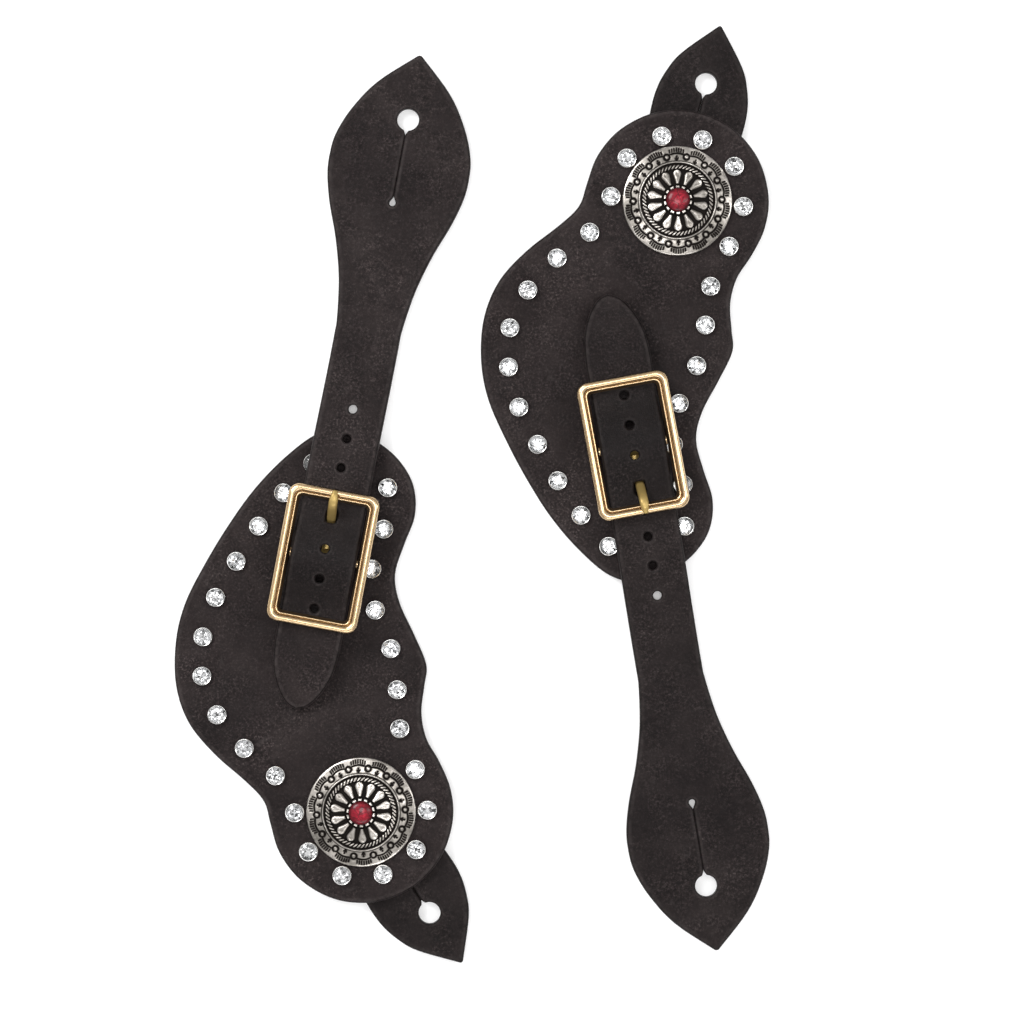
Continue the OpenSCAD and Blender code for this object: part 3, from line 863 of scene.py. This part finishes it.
def concho_relief(rho, angle):
    """Height above the concho's foot in millimetres, and how dark the patina is, at radius rho
    (a share of R) and angle."""
    r = rho * CONCHO_R
    sector = math.tau / PETALS
    t = np.mod(angle / sector, 1.0) - 0.5  # 0 at mid sector, +-0.5 at the small rings
    z = np.interp(
        rho,
        [0, 0.218, 0.224, 0.256, 0.264, 0.30, 0.54, 0.665, 0.71, 0.84, 0.965, 0.988, 1.0],
        [2.85, 2.85, 3.80, 3.80, 3.05, 2.75, 2.35, 2.15, 2.05, 1.78, 1.36, 1.2, 0.85],
    )
    # bezel, folded over the stone in as many tabs as there are petals
    bezel = smoothstep((rho - 0.214) / 0.008) * smoothstep((0.270 - rho) / 0.010)
    between = smoothstep((np.abs(t) - 0.26) / 0.10)
    z = z - bezel * 0.5 * between
    dark = bezel * between
    # petals, wide end outwards, in a sunk bed
    q = (rho - 0.288) / 0.268
    wide = (0.235 + 0.125 * smoothstep(q / 0.75)) * hump(np.clip(q - 0.74, 0, None), 0.262)
    wide = np.where((q > 0) & (q < 1), np.maximum(wide, 1e-3), 1e-3)
    petal = np.sqrt(np.clip(1 - (t / wide) ** 2, 0, None)) * smoothstep(q / 0.06)
    bed = smoothstep((rho - 0.262) / 0.008) * smoothstep((0.566 - rho) / 0.006)
    spoon = petal * groove(q - 0.76, 0.16) * groove(t, 0.14)
    z = z + bed * (petal * 0.66 - 0.34 - spoon * 0.16)
    dark = dark + bed * (1 - smoothstep(petal / 0.30)) + bed * spoon * 0.12
    # rope ring, its strands slanting, and the bright ring outside it
    x = (rho - ROPE_AT) / ROPE_HALF
    strand = np.abs(np.cos((STRANDS * angle + 3.2 * x) / 2))
    rope = hump(x, 1.0) * strand
    rope_bed = smoothstep((rho - 0.560) / 0.006) * smoothstep((0.682 - rho) / 0.006)
    z = z + rope * 0.55 - rope_bed * 0.12
    dark = dark + rope_bed * (1 - smoothstep((rope - 0.34) / 0.28))
    z = z + 0.45 * hump(rho - 0.696, 0.014)
    dark = dark + 0.5 * groove(rho - 0.720, 0.0075)
    # border: small rings, scallops, arrows and ticks
    dx = (rho - SMALL_RINGS_AT) * CONCHO_R
    dy = np.where(t > 0, t - 0.5, t + 0.5) * sector * r
    d = np.hypot(dx, dy)
    clear = smoothstep((d - 0.93) / 0.15)
    off = rho - SCALLOPS_AT - 0.056 * np.cos(np.pi * t) ** 0.7
    line = clear * groove(off, 0.0155)
    k = np.clip(np.round(t / TICK_PITCH), -3, 3)
    tick = groove(np.abs(t / TICK_PITCH - k), 0.31)
    tick_end = 0.972 - 0.003 * k**2
    tick = tick * smoothstep((off - 0.020) / 0.008) * smoothstep((tick_end - rho) / 0.008)
    ax, ay = (rho - ARROWS_AT) * CONCHO_R, np.abs(t * sector * r)  # the arrows point inwards
    arrow = groove(ax - 0.8 * ay + 0.40, 0.31) * smoothstep((0.62 - ay) / 0.12)
    stem = groove(ay, 0.20) * smoothstep((0.80 - np.abs(ax)) / 0.1)
    knob = groove(np.hypot(ax - 0.62, 0.8 * ay), 0.22)
    ring = groove(d - 0.84, 0.26)
    cut = np.maximum.reduce([line, clear * tick, arrow, stem, knob, ring])
    z = z - 0.26 * cut + np.where(d < 0.74, 0.22 * hump(d, 0.66), 0)
    dark = dark + cut + 0.12 * smoothstep((rho - 0.71) / 0.01) * smoothstep((0.985 - rho) / 0.02)
    return z, np.clip(dark, 0, 1)


def concho(side, material):
    """Sculpted disc on a polar grid, with a plain hollow back, a boss and its screw socket."""
    node = f"{side}_concho"
    columns = 560
    rho = np.concatenate([np.linspace(0.05, 0.205, 5), np.linspace(0.215, 1.0, 143)])
    angle = math.tau * np.arange(columns) / columns
    z, recess = concho_relief(rho[:, None], angle[None, :])
    face = turned(zip(rho * CONCHO_R, z), columns)
    r, boss_r, socket_r, socket_h = CONCHO_R, 4.1, 1.55, 2.3
    back = [
        (r, 0.45), (r - 0.1, 0.25), (r - 0.35, 0.03), (r - 1.6, 0.03), (r - 1.9, 0.45), (10.5, 1.0),
        (boss_r, 1.6), (boss_r, 0.03), (socket_r, 0.03), (socket_r, socket_h),
    ]
    points, faces = loft(face + turned(back, columns))
    turn = foot_of(*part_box(node)) @ Matrix.Rotation(TURN_OF_CONCHO[side], 4, "Z")
    obj = new_object(f"{side}_cast_concho", place_points(points, turn), [f[::-1] for f in faces])
    add_attribute(obj.data, "recess", np.r_[recess.ravel(), np.zeros(len(points) - recess.size)])
    shade_by_angle(obj, 70)
    finish_piece(obj, material, f"{side}_strap", "antique_silver", node)


def stone(side, material):
    """Oval-domed cabochon that sits in the bezel."""
    node = f"{side}_concho_stone"
    low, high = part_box(node)
    height = (high.z - low.z) / MM
    girdle, steps = 0.75, 14
    profile = [(0, 0), (STONE_R - 0.2, 0), (STONE_R - 0.05, 0.12), (STONE_R - 0.02, girdle)]
    for i in range(1, steps + 1):
        a = math.pi / 2 * i / steps
        r = STONE_R * math.cos(a) ** 0.85 if i < steps else 0
        profile.append((max(r - 0.02, 0), girdle + (height - girdle) * math.sin(a)))
    p, f = lathe(profile, 64)
    obj = new_object(f"{side}_red_cabochon", place_points(p, foot_of(low, high)), f)
    add_attribute(obj.data, "rim", np.hypot(p[:, 0], p[:, 1]) / STONE_R)
    finish_piece(obj, material, f"{side}_strap", "red_stone", node)


# ---- buckle

# of the frame: its corners, and its bead above its ledge
CORNER_OUT, CORNER_IN = 3.2, 1.3
LEDGE_W, BEAD_H = 1.2, 1.2
# of the tongue: heights above the bar's axis, and where it climbs, from that axis
TONGUE_W, TONGUE_T, TONGUE_LOW, TONGUE_REST = 2.6, 2.2, -0.8, 7.65
CLIMB_FROM, CLIMB_TO = 8.5, 17.0
# of the billet's hump over the bar: heights of its middle, and half its length
BILLET_HIGH, BILLET_LOW, HUMP_HALF = 4.7, 1.25, 15.5


def rectangle_stations(w, l, r, corner_steps, side_steps):
    """Points round a rounded rectangle, with the same count for any size."""
    arcs = []
    for k, (x, y) in enumerate(((1, 1), (-1, 1), (-1, -1), (1, -1))):
        turn = np.radians(90 * k + np.linspace(0, 90, corner_steps + 1))
        centre = (x * (w / 2 - r), y * (l / 2 - r))
        arcs.append(centre + r * np.stack([np.cos(turn), np.sin(turn)], axis=1))
    share = np.linspace(0, 1, side_steps + 1)[1:-1, None]
    stations = []
    for arc, after in zip(arcs, arcs[1:] + arcs[:1]):
        stations += [arc, arc[-1] + (after[0] - arc[-1]) * share]
    return np.vstack(stations)


def frame_section():
    """[across from inside 0 to outside, height, painted shade] round the frame's bar, in millimetres."""
    w, h, ledge = FRAME_BAR, FRAME_H, LEDGE_W
    section = [
        (0.35, 0.0, 0), (0.10, 0.08, 0.3), (0.0, 0.35, 0.9), (0.20, h - 2.2, 0.7),
        (0.55, h - 1.30, 0.3), (0.66, h - 1.08, 0), (0.84, h - 1.00, 0), (1.0, h - 1.06, 0.2),
        (ledge - 0.05, h - 1.28, 1.0),
    ]
    bead_r, steps = (w - ledge) / 2, 10
    for i in range(steps + 1):
        a = math.pi * (1 - i / steps)
        lift = BEAD_H * math.sin(a) ** 0.9 if 0 < i < steps else 0.0
        across = ledge + bead_r * (1 + math.cos(a))
        section.append((across, h - BEAD_H + lift, 0.6 if i == 0 else 0))
    return [*section, (w, 0.4, 0), (w - 0.1, 0.12, 0), (w - 0.4, 0.0, 0)]


def buckle_frame(side, material):
    """Cast frame with a round outer bead and an inner ledge, its lugs and its centre bar."""
    node = f"{side}_buckle_frame"
    hinge = hinge_frame(f"{side}_tongue_pivot")
    top = (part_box(node)[1].z - hinge.translation.z) / MM
    low = top - FRAME_H
    corner_steps, side_steps = 14, 34
    outer, inner = (
        rectangle_stations(FRAME_W - cut, FRAME_L - cut, r, corner_steps, side_steps)
        for cut, r in ((0, CORNER_OUT), (2 * FRAME_BAR, CORNER_IN))
    )
    section = frame_section()
    # hollow holds how much painted shade each point of the section takes
    ring, hollow = [], []
    for o, i in zip(outer, inner):
        for across, height, dark in section:
            x, y = i + (o - i) * across / FRAME_BAR
            ring.append((x, y, low + height))
            hollow.append(dark)
    parts = [(np.array(ring), grid_faces(len(outer), len(section), wrap_rows=True))]
    lug_x = (FRAME_W - FRAME_BAR) / 2
    for sign in (-1, 1):
        rings = []
        for z, a, b in (
            (-BAR_R, 1.2, 1.6), (-BAR_R + 0.15, 1.45, 1.85), (-BAR_R + 0.5, 1.6, 2.0),
            (low - 0.5, 1.6, 2.0), (low + 0.2, 1.55, 2.2), (low + 0.9, 1.2, 2.4),
        ):
            rings.append(np.array([(sign * lug_x + x, y, z) for x, y in superellipse(a, b, 5, 32)]))
        parts.append(loft(rings))
    bar_half = FRAME_W / 2 - FRAME_BAR + 1.0
    rings = []
    for x in np.linspace(-bar_half, bar_half, 25):
        r = BAR_R - 0.05 * math.cos(math.pi * x / bar_half)
        rings.append(np.array([(x, y, z) for y, z in superellipse(r, r, 2, 32)]))
    parts.append(loft(rings))
    points, faces = gather(parts)
    obj = new_object(f"{side}_cast_frame", place_points(points, hinge), faces)
    add_attribute(obj.data, "recess", np.r_[hollow, np.zeros(len(points) - len(hollow))])
    recalculate(obj)
    shade_by_angle(obj, 60)
    finish_piece(obj, material, f"{side}_strap", "brass", node)


def tongue_path(y):
    """Height of the middle of the tongue above the bar's axis."""
    u = smoothstep((y - CLIMB_FROM) / (CLIMB_TO - CLIMB_FROM))
    return TONGUE_LOW + (TONGUE_REST - TONGUE_LOW) * float(u)


def tongue(side, material):
    """Forged tongue: a band round the bar, a shank through the billet, a tip on the frame's end."""
    start, tip = 1.2, 19.6
    band_mid, band_t, turns, sides = 2.2, 1.2, 56, 24
    rings = []
    for i in range(turns):
        c, s = math.cos(math.tau * i / turns), math.sin(math.tau * i / turns)
        section = superellipse(TONGUE_W / 2, band_t / 2, 4, sides)
        rings.append([(x, (band_mid + n) * c, (band_mid + n) * s) for x, n in section])
    band = np.vstack(rings), grid_faces(turns, sides, wrap_rows=True)

    path = [(y, tongue_path(y)) for y in np.linspace(start, tip, 65)]
    rings = []
    for i, (y, z) in enumerate(path):
        (y0, z0), (y1, z1) = path[max(i - 1, 0)], path[min(i + 1, len(path) - 1)]
        along = Vector((0, y1 - y0, z1 - z0)).normalized()
        across = Vector((1, 0, 0)).cross(along)
        pinch = 1 - 0.42 * (1 - smoothstep((tip - y) / 2.6))
        cut = 1 - 0.35 * (1 - smoothstep((tip - y) / 1.2))
        ring = []
        for x, n in superellipse(TONGUE_W / 2 * pinch, TONGUE_T / 2, 3, 32):
            n = n * cut if n > 0 else n
            ring.append(tuple(Vector((x, y, z)) + across * n))
        rings.append(np.array(ring))
    end = rings[-1]
    mean = end.mean(0)
    for share, reach in ((0.72, 0.22), (0.35, 0.30)):
        rings.append(mean + (end - mean) * share + np.array([0, reach, 0]))

    points, faces = gather([band, loft(rings)])
    hinge = hinge_frame(f"{side}_tongue_pivot")
    obj = new_object(f"{side}_forged_tongue", place_points(points, hinge), faces)
    recalculate(obj)
    shade_by_angle(obj, 60)
    add_attribute(obj.data, "recess", np.zeros(len(points)))
    finish_piece(obj, material, f"{side}_tongue", "brass", f"{side}_buckle_tongue")


# ---- the pair


def leaf_region(side):
    """Frame of the leaf hinge, the plug that closes its gap, and the arrises to leave alone."""
    hinge = hinge_frame(f"{side}_leaf_flex")
    half_w, half_t = BILLET_W / 2, BILLET_T / 2
    outline = superellipse(half_w - 0.02, half_t - 0.01, 14, 48)[::-1]
    rings = [np.array([(x, y, z) for x, z in outline]) for y in (-2.4, -0.8, 0.8)]
    back = hinge.inverted()

    def inner(p):
        x, y, z = (back @ p) / MM
        return abs(y) < 4 and (abs(x) < half_w - 0.5 or abs(z) < half_t - 0.2)

    return hinge, repeated(loft(rings), [hinge]), inner


def billet_height(y):
    """Height of the middle of the billet above the bar's axis."""
    return BILLET_HIGH - (BILLET_HIGH - BILLET_LOW) * float(smoothstep(y / HUMP_HALF))


def tongue_ramp(side):
    """Plug that presses the leather over along the tongue, and the arrises that it covers."""
    hinge = hinge_frame(f"{side}_tongue_pivot")
    apart = TONGUE_T / 2 + 0.62  # from the tongue's middle to the leather
    near, half_w, dy = 7.2, 2.0, 0.1
    slope = []
    for i in range(80):
        y = CLIMB_FROM + i * 0.08
        rise = tongue_path(y + dy) - tongue_path(y - dy)
        length = math.hypot(2 * dy, rise)
        y2, z2 = y - rise / length * apart, tongue_path(y) + 2 * dy / length * apart
        above = z2 - billet_height(y2)
        if y2 > near + 0.1 and -BILLET_T / 2 < above < BILLET_T / 2 - 0.05:
            slope.append((y2, z2))
    top = billet_height(near) + BILLET_T / 2 - 0.1
    section = [(near, slope[0][1]), *slope, (near, top)]
    rings = [np.array([(x, y, z) for y, z in section]) for x in (-half_w, half_w)]
    back = hinge.inverted()

    def covered(p):
        x, y, _ = (back @ p) / MM
        return abs(x) < half_w + 0.1 and near - 0.5 < y < slope[-1][0] - 0.3

    return repeated(loft(rings), [hinge]), covered


def strap(side, looks, metals):
    """Everything of one strap."""
    body = f"{side}_strap"
    places = stud_places(side)
    seed = SEEDS[side]

    obj = leather_piece(
        f"{side}_crescent_panel", [f"{side}_panel"], seed, voxel=0.42, swell=0.16, dents=places
    )
    finish_piece(obj, looks["panel"], body, "leather", f"{side}_panel")

    obj = leather_piece(
        f"{side}_keyhole_tab", [f"{side}_button_tab"], seed + 1, voxel=0.32, swell=0.10,
        squared=tab_frame(side), slit=TAB_SLIT,
    )
    finish_piece(obj, looks["tab"], f"{side}_tab", "leather", f"{side}_button_tab")

    obj = leather_piece(
        f"{side}_folded_chape", [f"{side}_chape"], seed + 2, voxel=0.30, swell=0.04
    )
    finish_piece(obj, looks["tab"], body, "leather", f"{side}_chape")

    hinge, plug, inner = leaf_region(side)
    ramp, covered = tongue_ramp(side)
    nodes = [f"{side}_billet", f"{side}_billet_leaf"]
    obj = leather_piece(
        f"{side}_billet_strap", nodes, seed + 3, voxel=0.37, swell=0.12, plugs=[plug, ramp],
        skip=lambda p: inner(p) or covered(p), squared=hinge, slit=LEAF_SLIT,
    )
    finish_piece(obj, looks["billet"], None, "leather", *nodes)
    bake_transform(obj)

    studs(side, places, metals)
    rivets(side, metals)
    concho(side, metals["silver"])
    stone(side, metals["stone"])
    buckle_frame(side, metals["frame"])
    tongue(side, metals["tongue"])
    screw(side, metals["steel"])


def screw(side, material):
    """The CAD screw keeps its shape, with its edges broken."""
    node = frame["nodes"][f"{side}_concho_screw"]
    weld = node.modifiers.new("weld", "WELD")
    weld.merge_threshold = 1e-6
    bevel = node.modifiers.new("edges", "BEVEL")
    bevel.width = 0.12 * MM
    bevel.segments = 2
    bevel.limit_method = "ANGLE"
    bevel.angle_limit = math.radians(40)
    node.data.materials.clear()
    node.data.materials.append(material)


# ---- studio

# the middle and the width of what the camera sees at the leather's height, in metres
VIEW_X, VIEW_Y, VIEW_Z = 0.0116, -0.00517, 0.004
VIEW_WIDTH = 0.297
FLOOR_HALF, FLOOR_Z = 8.0, -0.0003


def light(name, at, size, power):
    """Soft box aimed at the middle of the pair."""
    data = bpy.data.lights.new(name, "AREA")
    data.shape = "RECTANGLE"
    data.size, data.size_y = size
    data.energy = power
    obj = bpy.data.objects.new(name, data)
    obj.location = at
    obj.rotation_euler = (-Vector(at)).to_track_quat("-Z", "Y").to_euler()
    bpy.context.scene.collection.objects.link(obj)


def studio():
    """Pale floor, soft boxes, and the camera straight above."""
    glow = {"Roughness": 0.8, "Specular IOR Level": 0.2, "Emission Strength": 0.3}
    s = Shader("pale_floor", glow)
    s.drive("Base Color", s.ramp(s.noise(s.place(), 0.01, 2.0), (0.3, 0.74), (0.7, 0.76)))
    s.drive("Emission Color", 1.0)
    corners = polar(4, FLOOR_HALF * math.sqrt(2), 0, 0.5)
    floor = new_object("floor", corners, [[0, 1, 2, 3]], smooth=False)
    floor.location.z = FLOOR_Z
    floor.data.materials.append(s.material)

    world = bpy.data.worlds.new("studio")
    bpy.context.scene.world = world
    world.use_nodes = True
    tree = world.node_tree
    coords = tree.nodes.new("ShaderNodeTexCoord")
    parts = tree.nodes.new("ShaderNodeSeparateXYZ")
    ramp = tree.nodes.new("ShaderNodeValToRGB")
    ramp.color_ramp.elements[0].color = (0.30, 0.30, 0.30, 1.0)
    ramp.color_ramp.elements[1].position = 0.7
    for at, grey in ((0.3, 0.42), (0.6, 0.95)):
        ramp.color_ramp.elements.new(at).color = (grey, grey, grey, 1.0)
    background = tree.nodes["Background"]
    background.inputs["Strength"].default_value = 0.85
    tree.links.new(coords.outputs["Generated"], parts.inputs[0])
    tree.links.new(parts.outputs["Z"], ramp.inputs["Fac"])
    tree.links.new(ramp.outputs["Color"], background.inputs["Color"])

    light("key", (-0.55, 0.50, 0.80), (0.45, 0.45), 7.0)
    light("fill", (0.70, 0.10, 0.75), (0.25, 0.7), 2.0)
    light("low", (0.05, -0.75, 0.55), (0.8, 0.2), 2.0)
    light("top", (0.02, 0.03, 1.2), (0.30, 0.30), 2.6)

    camera = bpy.data.cameras.new("camera")
    camera.lens = 100
    camera.sensor_width = 36
    camera.clip_start = 0.01
    obj = bpy.data.objects.new("camera", camera)
    distance = VIEW_WIDTH * camera.lens / camera.sensor_width
    obj.location = (VIEW_X, VIEW_Y, VIEW_Z + distance)
    bpy.context.scene.collection.objects.link(obj)
    bpy.context.scene.camera = obj
    bpy.context.scene.view_settings.view_transform = "Standard"


def main():
    """Both straps and the studio."""
    metals = {
        "frame": brass("pale_brass", (0.66, 0.475, 0.275), (0.10, 0.05, 0.02), 0.17, 0.28),
        "tongue": brass("olive_brass", (0.41, 0.29, 0.10), (0.10, 0.07, 0.03), 0.30, 0.42, 0.55),
        "silver": antique_silver("antique_silver"),
        "stone": red_stone("red_stone"),
        "nickel": bright_metal("bright_nickel", (0.88, 0.87, 0.85), 0.12, 0.26),
        "steel": bright_metal("plated_steel", (0.62, 0.61, 0.59), 0.28, 0.45),
        "glass": cut_glass("cut_crystal"),
        "foil": foil("crystal_foil"),
    }
    for side in SIDES:
        low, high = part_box(f"{side}_buckle_frame")
        looks = {
            "panel": leather(f"{side}_panel_leather", 0.90),
            "billet": leather(f"{side}_billet_leather", BILLET_TONE_AND_LIGHT[side], (low + high) / 2 / MM),
            "tab": leather(f"{side}_tab_leather", 0.56),
        }
        strap(side, looks, metals)
    studio()


main()
